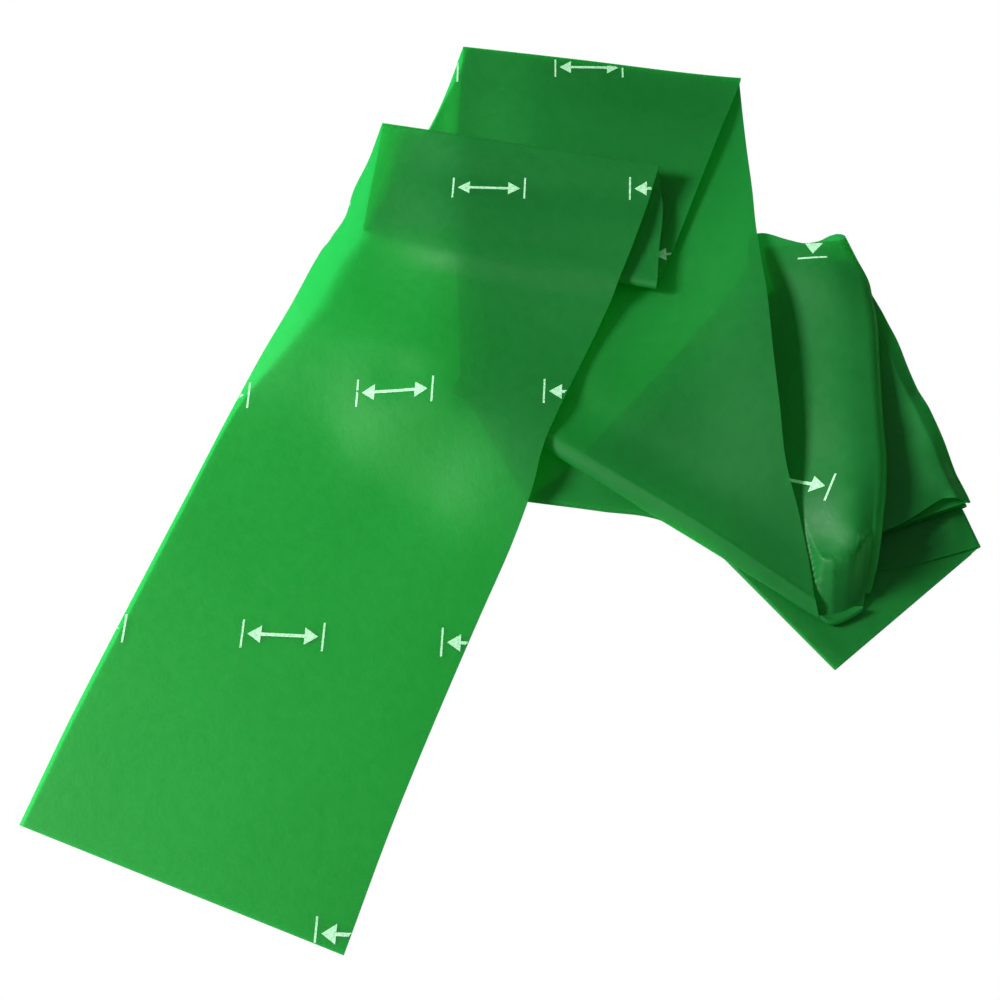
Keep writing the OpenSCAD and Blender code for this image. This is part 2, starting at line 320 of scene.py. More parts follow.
WIDE_RIGHT = [
    (132.2, 605.6), (131.3, 560.0), (131.3, 523.2), (130.4, 490.7), (131.5, 449.6),
    (131.5, 416.4), (132.3, 384.1), (133.4, 356.8), (138.8, 331.3), (142.0, 310.7),
    (143.2, 293.0)]
# Outer line of the front roll, (x, y), left to right
FRONT_ROLL = [(-23.8, 403.4), (22.8, 369.4), (88.0, 324.5), (145.4, 285.0)]

# Control heights (x, y, z) of the wide run: low at fold 3, high over the pile, low at the roll
wide_drape = Drape([
    (-20, 630, 2.2), (55, 620, 2.2), (133, 608, 2.4), (-22, 560, 4), (-22, 489, 6.5),
    (-20.8, 405, 12), (50, 560, 5), (50, 490, 9), (50, 430, 12), (131, 560, 10),
    (131, 523, 15), (131, 490, 21), (131.5, 450, 26), (131.5, 416, 27.5), (132.3, 384, 27),
    (133.4, 357, 23.5), (138.8, 331, 17), (146, 288, 9), (100, 500, 12), (100, 460, 16),
    (100, 415, 18.5), (100, 370, 17), (60, 375, 14), (23, 376, 14), (88, 330, 13),
    (118, 318, 13), (-70, 489, 4.5), (-63, 562, 3.8), (-85, 500, 4), (-60, 620, 2)])
# Control heights (x, y, z) of the flap: raised over the pile, flat towards the free end
flap_drape = Drape([
    (-64, 566, 17.5), (10, 548, 21), (83, 531, 25), (-82, 503, 17.5), (0, 485, 20.5),
    (75, 470, 24.5), (-99, 468, 13.0), (-40, 452, 18.5), (0, 440, 17.5), (57, 450, 20.5),
    (-129, 403, 1.2), (-92, 420, 7.5), (-48, 401, 12.8), (0, 400, 16.6), (36, 406, 17.2),
    (21, 370, 16.5), (0, 376, 15.4), (-40, 372, 8.6), (-80, 385, 3.0), (-112, 380, 0.6),
    (12.6, 340, 9.0), (0, 337, 6.6), (-30, 345, 3.2), (-52, 350, 1.2), (8, 315, 2.6),
    (-5, 298, 0.9), (-40, 318, 0.4), (-13, 276, 0.2), (-150, 348, 0.3), (-100, 300, 0.2),
    (-60, 250, 0.2), (-205, 192, 0.2), (-65, 138, 0.2), (-130, 230, 0.2), (-104, 455, 10.5)])

ROOT_BEND = np.array([-100.0, 468.0])    # point and angle of the line where the flap bends
ROOT_BEND_ANGLE = -37.5


# ---------------------------------------------------------------- flap
def flap_height(x, y):
    before_2 = -offset_from(x, y, FOLD_2, CREASE_2)
    before_1 = -offset_from(x, y, FOLD_1, CREASE_1)
    past_bend = offset_from(x, y, ROOT_BEND, ROOT_BEND_ANGLE)
    z = flap_drape(x, y)
    # ridge over crease 2, hollow before crease 1, long dip on the near side of crease 2
    z = z + 0.8 * hump(before_2 + 1, 7) - 1.9 * hump(before_1 - 24, 13)
    z = z - 2.4 * rise(before_2, start=1, width=13.0) * (1 - rise(before_2, start=26, width=50.0))
    # one dimple and one bump on the slope
    z = z - 2.0 * hump(np.hypot(x + 50, (y - 411) * 1.2), 13)
    z = z + 1.1 * hump(np.hypot((x + 27) * 0.7, y - 396), 11)
    # ripples below the bend
    z = z + 0.7 * hump(past_bend + 42, 26) * np.sin((x - y * 0.9) * 0.075 + 0.6)
    # the free end lies on the table with slight waves
    waves = 0.10 * (1 + np.sin(x * 0.026 + y * 0.017 + 1.0))
    table = LYING + waves * rise(-past_bend, start=60, width=200.0)
    return softmax(z, table, 3.0)


FLAP_LEVEL = 9.0             # the far left of the flap lies down to this
left_parts = split_at(dense(FLAP_LEFT), FLAP_SPLIT[0])
right_parts = split_at(dense(FLAP_RIGHT), FLAP_SPLIT[1])
for name, left, right, steps in zip(("flap_outer", "flap_inner"), left_parts, right_parts,
                                    (110, 120)):
    add_run(name, flatten_left(ruled(left, right, steps, flap_height), FLAP_LEVEL))


# ---------------------------------------------------------------- upper return and upper run
def upper_height(x, y):
    before_3 = -offset_from(x, y, FOLD_3, CREASE_3)
    inside = (rise(offset_from(x, y, FOLD_2, CREASE_2), start=0, width=30.0)
              * rise(before_3, start=0, width=30.0))
    waves = inside * (0.5 * np.sin(x * 0.035 + y * 0.03) - 0.4)
    return wide_drape(x, y) + UPPER_GAP + waves - 0.8 * hump(before_3 - 22, 12)


upper_return = flatten_left(
    ruled(dense(RETURN_LEFT), dense(RETURN_RIGHT), 30,
          height=lambda x, y: flap_height(x, y) - FLAP_DROP,
          end_height=lambda x, y: wide_drape(x, y) + RETURN_GAP), 5.6)
upper_run = ruled(dense(UPPER_LEFT), dense(UPPER_RIGHT), 70, upper_height)
upper_run = settle_left(lower_far_left(upper_run, UPPER_GAP), 0.4)
add_run("fold_1", turn_rows(rows[-1], upper_return[0],
                            crease_normal(CREASE_1, FLAP_ANGLE) * (FOLD_REACH + 0.6)))
add_run("upper_return", upper_return)
add_run("fold_2", turn_rows(rows[-1], upper_run[0],
                            crease_normal(CREASE_2, RETURN_ANGLE) * (FOLD_REACH + 1.2)))
add_run("upper_run", upper_run)

# ---------------------------------------------------------------- wide run and front roll
ROLL_REACH = 7.0                         # bulge of the front roll at its left part
ROLL_RIGHT_REACH = [2.2, -8.0]           # its bulge vector at the right end
# Section of the roll's right part: (share of the half height, share of the bulge)
ROLL_SECTION = [
    (1.0, 0.0), (1.06, 0.06), (1.04, 0.14), (0.94, 0.24), (0.55, 0.50), (0.1, 0.76),
    (-0.35, 0.96), (-0.62, 1.0), (-0.85, 0.92), (-0.97, 0.6), (-1.0, 0.0)]

to_right = rise(ACROSS, start=0.55, width=0.45)[:, None]
roll_outward = (crease_normal(ROLL_CREASE, WIDE_ANGLE) * ROLL_REACH * (1 - to_right)
                + np.array([ROLL_RIGHT_REACH]) * to_right)


def wide_height(x, y):
    before_3 = -offset_from(x, y, FOLD_3, CREASE_3)
    behind_roll = offset_from(x, y, FRONT_ROLL[0], -38.5)
    waves = rise(before_3, start=0, width=30.0) * 0.35 * np.sin(x * 0.06 + y * 0.028)
    hollow = 1.7 * hump(behind_roll - 27 - 0.05 * (x + 20), 12)
    return wide_drape(x, y) + waves - hollow + 1.2 * hump(behind_roll - 9, 7)


def make_wide_run():
    """Rows from fold 3 to the roll; the last ones bend to meet the roll's top line."""
    run = ruled(dense(WIDE_LEFT), dense(WIDE_RIGHT), 120, wide_height)
    shift = curve_at(dense(FRONT_ROLL), ACROSS) - roll_outward - run[-1][:, :2]
    bent = [raised(row[:, :2] + shift * rise(k / (len(run) - 1), start=0.45, width=0.55),
                   wide_height)
            for k, row in enumerate(run)]
    return lower_far_left(bent, 0.0)


def front_roll_rows(top, bottom, steps=30):
    """Round on the left; on the right a crease, a face leaning out, a tight turn under."""
    section = curve_at(dense(ROLL_SECTION), np.linspace(0, 1, steps + 1))
    share = rise(ACROSS, start=0.15, width=0.55)
    run = []
    for k in range(steps + 1):
        angle = math.pi * k / steps
        up = math.cos(angle) * (1 - share) + section[k, 0] * share
        out = math.sin(angle) * (1 - share) + section[k, 1] * share
        run.append((top + bottom) / 2 + (top - bottom) / 2 * up[:, None]
                   + flat_vectors(roll_outward) * out[:, None])
    return run


wide_run = make_wide_run()
add_run("fold_3", turn_rows(rows[-1], wide_run[0],
                            crease_normal(CREASE_3, UPPER_ANGLE) * (FOLD_REACH + 0.6)))
add_run("wide_run", wide_run)
roll_bottom = rows[-1].copy()
roll_bottom[:, 2] -= 8.6 - 1.6 * ACROSS
add_run("front_roll", front_roll_rows(rows[-1], roll_bottom))

# ---------------------------------------------------------------- loose run and side run
# Near crease of the loose run, (x, y, z), left to right
NEAR_CREASE = [
    (12.8, 347.9, 1.0), (47.4, 342.6, 1.4), (77.9, 336.8, 1.8), (112.0, 315.0, 2.0),
    (134.0, 295.0, 2.4), (146.0, 286.6, 2.6), (151.5, 283.6, 2.4), (158.6, 286.0, 2.4),
    (166.0, 290.4, 2.8)]
# Line where the loose run turns down on the right, (x, y, z), far to near
SIDE_ROLL = [
    (169.5, 486.2, 25), (173.8, 471.0, 25.2), (177.2, 459.0, 26.0), (178.0, 448.0, 26.6),
    (178.7, 431.0, 27.0), (176.9, 402.0, 27.0), (175.4, 375.0, 27.0), (174.9, 359.0, 26.6),
    (173.2, 344.0, 25.4), (170.6, 326.0, 22.8), (168.9, 310.0, 17.5), (167.4, 297.0, 5)]
# The loose run's edges from near crease to side roll, (x, y)
LOOSE_FAR_EDGE = [
    (12.8, 347.9), (33.0, 364.0), (54.4, 388.3), (74.0, 410.0), (94.5, 433.2),
    (112.0, 454.0), (123.5, 470.0), (126.5, 484.0), (128.5, 492.5), (136.3, 492.5),
    (146.7, 487.0), (154.0, 483.3), (160.8, 483.1), (165.6, 485.2), (169.5, 486.2)]
LOOSE_NEAR_EDGE = [(166.0, 290.4), (166.8, 293.0), (167.4, 297.0)]
# Control heights (x, y, z) of the loose run
LOOSE_HEIGHTS = [
    (13, 348, 1.2), (48, 343, 3.0), (78, 337, 4.0), (112, 315, 5.0), (40, 366, 3),
    (60, 360, 4), (80, 400, 6), (100, 370, 7), (100, 430, 10), (115, 400, 12),
    (120, 350, 12), (122, 325, 10), (125, 470, 15), (133, 330, 11.0), (139, 318, 12.5),
    (142, 310, 15.5), (147, 303, 17.8), (153, 301, 19.4), (161, 304, 20.8), (151, 318, 18.6),
    (163, 318, 25.0), (129, 491, 17), (138, 491, 17.5), (148, 484, 19.5), (158, 482, 22.5)]
LOOSE_HEIGHTS += SIDE_ROLL[:11]
# Its slope left of the side roll: (distance left, z), repeated at points of a crest line
CREST_SLOPE = [(9, 26.2), (17, 23.4), (25, 19.4), (33, 15.4), (41, 12.8), (47, 12.4)]
CREST = [(173.2, 338.0), (174.9, 359.0), (175.6, 380.0), (176.9, 402.0), (178.3, 425.0),
         (177.6, 446.0), (176.0, 460.0)]
LOOSE_HEIGHTS += [(x - left, y, z) for x, y in CREST for left, z in CREST_SLOPE]
loose_drape = Drape(LOOSE_HEIGHTS, slack=0.0008)
# (x, distance from the near crease to the crisp bend behind it)
BEND_DEPTH = [(90, 16), (120, 22), (141, 22.5), (145, 20.5), (152.5, 21.6), (162, 20.6),
              (168, 26.0), (173, 30)]

SIDE_BULGE = [(0, 5.0), (0.15, 6.0), (0.75, 6.0), (0.92, 4.5), (1.0, 2.5)]   # (station, bulge)
# (y, z) of the underside of the side roll
SIDE_UNDERSIDE = [(290, 2.9), (305, 6.0), (325, 13.2), (345, 14.8), (400, 15.6), (450, 18.0),
                  (487, 19.5)]
# (station, length) of the return under the loose run, going left
RETURN_LENGTH = [(0, 34.0), (0.06, 36.0), (0.8, 34.0), (1.0, 16.0)]
SHEET_CLEARANCE = 1.1

# Right-hand crease of the side run, (x, y, z), far to near
SIDE_CREASE = [
    (179.5, 465.5, 21.5), (184.5, 448.5, 22.5), (189.4, 436.1, 22.5), (193.0, 426.0, 21.0),
    (196.8, 411.7, 19.3), (201.0, 398.1, 18.2), (205.0, 386.5, 17.0), (210.1, 370.3, 15.5),
    (214.6, 355.2, 13.8), (219.7, 340.8, 12.2)]
# Near edge of the side run, (x, y), left to right
SIDE_NEAR_EDGE = [(175.0, 323.0), (184.4, 327.9), (191.9, 332.3), (200.8, 338.2),
                  (207.0, 341.8), (213.0, 341.6), (219.7, 340.8)]
# Control heights (x, y, z) of the side run
side_drape = Drape([
    (135, 300, 2.5), (135, 340, 6.7), (138, 400, 6.8), (138, 450, 7.5), (136, 484, 12),
    (160, 310, 6), (165, 330, 11.0), (166, 345, 12.2), (167, 400, 13.6), (168, 450, 16.0),
    (163, 482, 17), (180, 326, 12.8), (188, 331, 13.0), (200, 338, 13), (208, 342, 13.4),
    (185, 360, 14.8), (186, 400, 17.5), (184, 430, 20.0), (196, 352, 14.8), (197, 375, 17.6),
    (196, 398, 19.6), (191, 420, 22.0), (184, 442, 23.5), (203.6, 388.9, 21.2),
    (204.9, 370.8, 19.4), (210.4, 353.5, 16.6), (213, 342.6, 14.8), (179.5, 465.5, 22.5),
    (189.4, 436.1, 23.6), (201, 398.1, 19.6), (214.6, 355.2, 14.6), (219.7, 340.8, 13.4)])

wide_edge = np.array([row[-1, :2] for row in wide_run])      # right edge, sorted by y
wide_edge = wide_edge[np.argsort(wide_edge[:, 1])]


def loose_height(x, y):
    ripple = 0.25 * np.sin(y * 0.05 + x * 0.09) * rise(y, start=330, width=40.0)
    top = loose_drape(x, y) + ripple
    # crisp bend where the front of the run turns down
    y_near = lookup(x, [point[:2] for point in NEAR_CREASE])
    y_bend = y_near + lookup(x, BEND_DEPTH)
    up_front = np.clip((y - y_near) / (y_bend - y_near), 0, 2)
    right = rise(x, start=134, width=8.0)
    front = 2.6 + (loose_drape(x, y_bend) - 2.6) * up_front ** (0.8 + 0.5 * right)
    z = softmin(top, front, 0.8) + 0.9 * hump(y - y_bend - 1.6, 2.2) * right
    # stays under the wide run, and may rise again right of its edge
    x_edge = np.interp(y, wide_edge[:, 1], wide_edge[:, 0]) + 0.8
    ceiling = wide_drape(x, y) - 2.6 + 3.5 * np.maximum(x - x_edge - 0.9, 0)
    return softmin(z, ceiling, 1.5)


def slack_rows(first, last):
    """From the bottom of the front roll to just above the near crease, sagging a little."""
    run = []
    for t, row in sweep(first, last, 24):
        row[:, 2] -= 1.2 * math.sin(math.pi * t)
        run.append(row)
    return run


def loose_top_rows(near_crease):
    end_line = curve_at(dense(SIDE_ROLL), ACROSS)
    run = coons(near_crease[:, :2], end_line[:, :2], dense(LOOSE_FAR_EDGE),
                dense(LOOSE_NEAR_EDGE), 120, loose_height)
    for k, row in enumerate(run):
        share = smooth(k / 120 / 0.08)
        row[:, 2] = row[:, 2] * share + near_crease[:, 2] * (1 - share)
    return run


def return_rows(first):
    """Goes left under the loose run, staying clear of it."""
    last = first.copy()
    last[:, 0] -= lookup(ACROSS, RETURN_LENGTH)
    last[:, 1] += np.interp(ACROSS, [0, 0.8, 1.0], [0.0, 0.0, 4.0])
    under_loose = loose_height(last[:, 0], last[:, 1]) - 1.0
    last[:, 2] = np.minimum(7.9 + 6.0 * rise(last[:, 1], start=455, width=30.0),
                            np.minimum(first[:, 2], under_loose))
    run = []
    for t, row in sweep(first, last, 30):
        share = smooth(t / 0.15) * smooth((1 - t) / 0.1)
        under_loose = loose_height(row[:, 0], row[:, 1]) - SHEET_CLEARANCE
        row[:, 2] = row[:, 2] * (1 - share) + share * np.minimum(row[:, 2], under_loose)
        run.append(row)
    return run


def side_run_rows(first, return_run):
    """Goes right below the return, then on to the side crease."""
    crease = curve_at(dense(SIDE_CREASE), ACROSS)[:, :2]
    near_edge = dense(np.vstack([first[-1:, :2], SIDE_NEAR_EDGE]))
    far_edge = dense(np.vstack([first[:1, :2], crease[:1]]), 50)
    run = coons(first[:, :2], crease, far_edge, near_edge, 90, side_drape)
    return_x = np.array([row[:, 0] for row in return_run[::-1]])
    return_z = np.array([row[:, 2] for row in return_run[::-1]])
    for k, row in enumerate(run):
        ceiling = np.array([np.interp(row[i, 0], return_x[:, i], return_z[:, i], right=99.0)
                            for i in range(len(ACROSS))]) - SHEET_CLEARANCE
        share = smooth(k / 90 / 0.06)
        z = first[:, 2] * (1 - share) + np.minimum(row[:, 2], ceiling) * share
        # rounds down close to the crease
        to_crease = np.linalg.norm(row[:, :2] - crease, axis=1)
        row[:, 2] = z - np.maximum(6.5 - to_crease, 0) * 0.42
    return run


near_crease = curve_at(dense(NEAR_CREASE), ACROSS)
add_run("loose_run", slack_rows(roll_bottom, near_crease + [0, 0, 2.4]))
add_run("loose_run", turn_rows(rows[-1], near_crease, heading(-98) * 1.7, 10))
add_run("loose_run", loose_top_rows(near_crease))

side_bottom = rows[-1].copy()
side_bottom[:, 2] = np.minimum(lookup(side_bottom[:, 1], SIDE_UNDERSIDE),
                               side_bottom[:, 2] - 1.2)
bulge = lookup(ACROSS, SIDE_BULGE)
add_run("loose_run", turn_rows(rows[-1], side_bottom,
                               np.column_stack([bulge, 0 * bulge]), 24))

return_run = return_rows(side_bottom)
add_run("loose_run", return_run)
side_start = return_run[-1].copy()
side_start[:, 2] = np.maximum(side_start[:, 2] - SHEET_CLEARANCE, 1.6)
add_run("loose_run", turn_rows(return_run[-1], side_start, [-0.8, 0], 6))
add_run("loose_run", side_run_rows(side_start, return_run))

# ---------------------------------------------------------------- inner zigzag
INNER_ANGLE = 18.0                       # heading of the inner runs, left to right
FOLD_9_ANGLE = 17.8                      # heading square to fold 9
INNER_CORNER = np.array([221.6, 341.3])  # near right corner of the inner runs
INNER_LENGTH = 55                        # from the corner to the left creases
INSET = 1.25                             # the runs stop this short of their creases
INNER_LEFT = INNER_CORNER - heading(INNER_ANGLE) * INNER_LENGTH + heading(INNER_ANGLE) * INSET
INNER_LIFT = {4: (4.0, 8.0), 3: (2.8, 5.6), 2: (1.6, 3.4), 1: (0.4, 1.4)}
# ^ level: (lift on the right, further lift on the right at the far side)
# Near edge of the lowest inner run, (x, y), left to right
LOWEST_NEAR_EDGE = [(168.0, 309.0), (176.5, 310.0), (191.6, 312.6), (206.1, 316.7),
                    (214.9, 319.3), (224.3, 322.4)]


def inner_height(level, x, y):
    right_lift, far_lift = INNER_LIFT[level]
    past_left = (x - 169.3) + (y - 324.3) * 0.325        # distance right of the left creases
    lift = right_lift + far_lift * rise(y, start=345, width=95.0)
    return 1.36 + 1.15 * level + rise(past_left, start=6, width=40.0) * lift


def inner_run(level, steps=14):
    """Rows of an inner run from its right crease to its left one."""
    along_crease = heading(INNER_ANGLE + 90) * 142
    right = (INNER_CORNER - np.array([0.8 * level, 0])) - heading(INNER_ANGLE) * INSET
    pairs = sweep(straight_row(right + along_crease, right),
                  straight_row(INNER_LEFT + along_crease, INNER_LEFT), steps)
    return [raised(plan, lambda x, y: inner_height(level, x, y)) for _, plan in pairs]


def lowest_height(x, y):
    z = inner_height(1, x, y) - 0.5
    z = z + 1.7 * rise(y, start=318, width=22.0) * (1 - rise(y, start=342, width=10.0))
    # two creases fanning out from the near edge of the side run, and a swell at the right
    crease_a = (x - 196.5) * 0.61 - (y - 324.3) * 0.79
    z = z - 0.9 * hump(crease_a, 1.3) * hump(x - 203, 8)
    z = z + 0.5 * hump(crease_a - 3.2, 2.0) * hump(x - 203, 8)
    crease_b = (x - 178) * 0.42 - (y - 314.7) * 0.91
    z = z - 0.8 * hump(crease_b, 1.2) * hump(x - 180, 6)
    return z + 0.5 * hump(x - 214, 4) * rise(y, start=318, width=10.0)


def lowest_inner_run(steps=40):
    """Like inner_run, but the near edge follows its own outline."""
    edge = dense(LOWEST_NEAR_EDGE)
    right = edge[-1] - heading(FOLD_9_ANGLE) * INSET
    left = edge[0]
    near = curve_at(edge[::-1], np.linspace(0, 1, steps + 1))
    near[0], near[-1] = right, left
    pairs = sweep(straight_row(right + heading(FOLD_9_ANGLE + 90) * WIDTH, right),
                  straight_row(INNER_LEFT + heading(INNER_ANGLE + 90) * 136, left), steps)
    pull = rise(ACROSS, start=0.72, width=0.28)[:, None]
    return [raised(plan + (point - plan[-1]) * pull, lowest_height)
            for point, (_, plan) in zip(near, pairs)]


# (fold leading in, run name, rows, side of the fold: 1 right or -1 left, bulge, steps)
INNER_RUNS = [
    ("fold_5", "inner_run_4", inner_run(4), 1, 2.0, 14),
    ("fold_6", "inner_run_3", inner_run(3)[::-1], -1, 1.5, 10),
    ("fold_7", "inner_run_2", inner_run(2), 1, 1.7, 10),
    ("fold_8", "inner_run_1", lowest_inner_run()[::-1], -1, 1.5, 10),
]
for fold, name, run, side, reach, steps in INNER_RUNS:
    add_run(fold, turn_rows(rows[-1], run[0], heading(INNER_ANGLE) * side * reach, steps))
    add_run(name, run)

# ---------------------------------------------------------------- lower end
END_ANGLE = 39.8                         # heading of the near edge of the lower end
END_CORNER = np.array([151.0, 261.0])    # its near left corner
FOLD_9_CORNER = np.array([224.6, 322.2]) # near end of fold 9
END_INSET = 1.2
END_RETURN_LENGTH = 90


def lower_height(x, y):
    along = ((x - END_CORNER[0]) * heading(END_ANGLE)[0]
             + (y - END_CORNER[1]) * heading(END_ANGLE)[1])
    return 1.45 + 0.7 * hump(along - 5, 6) + 0.12 * np.sin(x * 0.16 + y * 0.07)


fold_9_near = FOLD_9_CORNER - heading(FOLD_9_ANGLE) * INSET
fold_9_row = straight_row(
    fold_9_near + heading(FOLD_9_ANGLE + 90) * WIDTH,
    crossing(END_CORNER, END_ANGLE, fold_9_near, FOLD_9_ANGLE + 90))
end_near = END_CORNER + heading(END_ANGLE) * END_INSET
end_row = straight_row(end_near + heading(END_ANGLE + 90) * WIDTH, end_near)
lower_end = [raised(plan, lower_height) for _, plan in sweep(fold_9_row, end_row, 60)]
tucked_row = end_row + heading(END_ANGLE) * END_RETURN_LENGTH
end_return = [raised(plan, lambda x, y: LYING + 0 * x)
              for _, plan in sweep(end_row, tucked_row, 30)]
add_run("fold_9", turn_rows(rows[-1], lower_end[0], heading(FOLD_9_ANGLE) * 1.8, 12))
add_run("lower_end", lower_end)
add_run("end_return", turn_rows(rows[-1], end_return[0], heading(END_ANGLE + 180) * 1.2, 12))
add_run("end_return", end_return)

# ---------------------------------------------------------------- mesh of a piece
# Middle surface of the whole strip and its normals, so that neighbouring pieces match
strip = np.array(rows) + ORIGIN
normals = -np.cross(np.gradient(strip, axis=0), np.gradient(strip, axis=1))
normals /= np.maximum(np.linalg.norm(normals, axis=2, keepdims=True), 1e-9)
strip_length = arc_length(strip[:, len(ACROSS) // 2])


def quad_mesh(name, points, faces):
    mesh = bpy.data.meshes.new(name)
    mesh.vertices.add(len(points))
    mesh.vertices.foreach_set("co", points.astype(np.float32).ravel())
    count = len(faces)
    mesh.loops.add(count * 4)
    mesh.loops.foreach_set("vertex_index", faces.astype(np.int32).ravel())
    mesh.polygons.add(count)
    mesh.polygons.foreach_set("loop_start", np.arange(0, count * 4, 4, dtype=np.int32))
    mesh.update(calc_edges=True)
    mesh.validate()
    return mesh


def sheet_object(name, first, last):
    """Closed thin sheet over the strip rows first to last."""
    middle, normal = strip[first:last + 1], normals[first:last + 1]
    row_count, column_count = middle.shape[:2]
    half = normal * (THICKNESS / 2)
    points = np.vstack([(middle + half).reshape(-1, 3), (middle - half).reshape(-1, 3)]) * MM
    below = row_count * column_count         # index offset to the lower face
    index = np.arange(below).reshape(row_count, column_count)
    a, b, c, d = (part.ravel() for part in
                  (index[:-1, :-1], index[:-1, 1:], index[1:, 1:], index[1:, :-1]))
    upper = np.column_stack([a, b, c, d])
    lower = np.column_stack([d, c, b, a]) + below

    def wall(edge, flip):
        quads = np.column_stack([edge[:-1], edge[1:], edge[1:] + below, edge[:-1] + below])
        return quads[:, ::-1] if flip else quads

    walls = [wall(index[:, 0], False), wall(index[:, -1], True),
             wall(index[0, :], True), wall(index[-1, :], False)]
    faces = np.vstack([upper, lower] + walls)
    mesh = quad_mesh(name, points, faces)

    # the strip's own normals on both faces, flat ones on the rim
    corners = faces.ravel()
    sheet_faces = 2 * len(upper)
    flat = np.zeros(len(faces) * 3)
    mesh.polygons.foreach_get("normal", flat)
    point_normals = np.vstack([normal.reshape(-1, 3), -normal.reshape(-1, 3)])
    corner_normals = np.vstack([
        point_normals[corners[:sheet_faces * 4]],
        np.repeat(flat.reshape(-1, 3)[sheet_faces:], 4, axis=0)])
    mesh.polygons.foreach_set("use_smooth", np.ones(len(faces), bool))
    mesh.normals_split_custom_set(corner_normals.tolist())

    # UV in metres: along the strip, across the band
    layer = mesh.uv_layers.new(name="sheet")
    u = np.repeat(strip_length[first:last + 1], column_count) * MM
    v = np.tile(ACROSS * WIDTH, row_count) * MM
    uv = np.column_stack([np.r_[u, u], np.r_[v, v]])
    layer.data.foreach_set("uv", uv[corners].astype(np.float32).ravel())
    return link_object(name, mesh)


def link_object(name, data):
    ob = bpy.data.objects.new(name, data)
    bpy.context.scene.collection.objects.link(ob)
    return ob


# ---------------------------------------------------------------- materials
def new_material(name):
    material = bpy.data.materials.new(name)
    material.use_nodes = True
    material.node_tree.nodes.clear()
    return material, material.node_tree


def add_node(tree, kind, inputs=None, **settings):
    node = tree.nodes.new(kind)
    for key, value in settings.items():
        setattr(node, key, value)
    for key, value in (inputs or {}).items():
        node.inputs[key].default_value = value
    return node


def add_ramp(tree, stops):
    """Colour ramp from two (position, colour) stops."""
    node = add_node(tree, "ShaderNodeValToRGB")
    for element, (position, color) in zip(node.color_ramp.elements, stops):
        element.position = position
        element.color = (*color, 1)
    return node


def srgb(color):
    """Linear colour from sRGB values 0 to 255."""
    return tuple(c / 255 / 12.92 if c / 255 <= 0.04045 else ((c / 255 + 0.055) / 1.055) ** 2.4
                 for c in color)


LATEX_DARK = (0.016, 0.295, 0.064)       # the two ends of the cloudy surface colour
LATEX_LIGHT = (0.026, 0.38, 0.088)
LATEX_GLOW = (0.11, 0.80, 0.30)          # scattered light coming through
LATEX_CLEAR = (0.165, 0.90, 0.38)        # tint of light going straight through
SHADOW_DIM = 0.60                        # further dimming of that light in shadows
THROUGH_SHARE = 0.75                     # light going through, against reflected
CLEAR_SHARE = 0.72                       # of it, going straight, against scattered
ROUGHNESS = 0.52
BROAD_SHARE, FINE_SHARE = 0.75, 0.25     # of the two noises in the cloudiness


